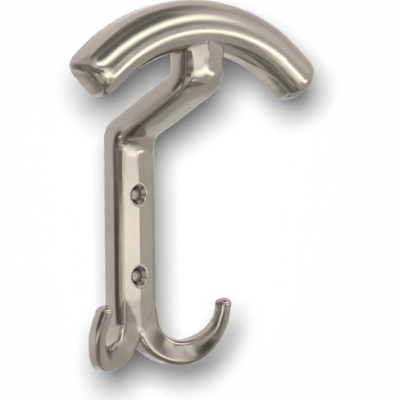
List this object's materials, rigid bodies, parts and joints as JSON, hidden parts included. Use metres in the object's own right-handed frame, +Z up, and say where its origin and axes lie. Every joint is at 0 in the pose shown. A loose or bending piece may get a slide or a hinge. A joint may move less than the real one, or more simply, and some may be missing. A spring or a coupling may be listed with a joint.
{
  "type": "wall coat hook",
  "caption": "Wall coat hook of satin nickel castings: a screw-fixed bar with a leaning stem that carries a curved hanger bow, and forked hooks at its foot.",
  "frame": {"origin": "on the wall plane, half-way between the two screw holes of the bar", "axes": "+X to the right as seen from the room, +Y into the wall, +Z up"},
  "size_m": [0.1158, 0.0546, 0.142],
  "materials": {
    "body_nickel": "satin nickel plate",
    "bow_nickel": "satin nickel plate",
    "screw_steel": "zinc plated steel",
    "washer_steel": "plain spring steel"
  },
  "bodies": {
    "root": {"hook_body": "body_nickel", "hanger_bow": "bow_nickel", "bow_screws": "screw_steel", "lock_washers": "washer_steel"}
  },
  "joints": []
}
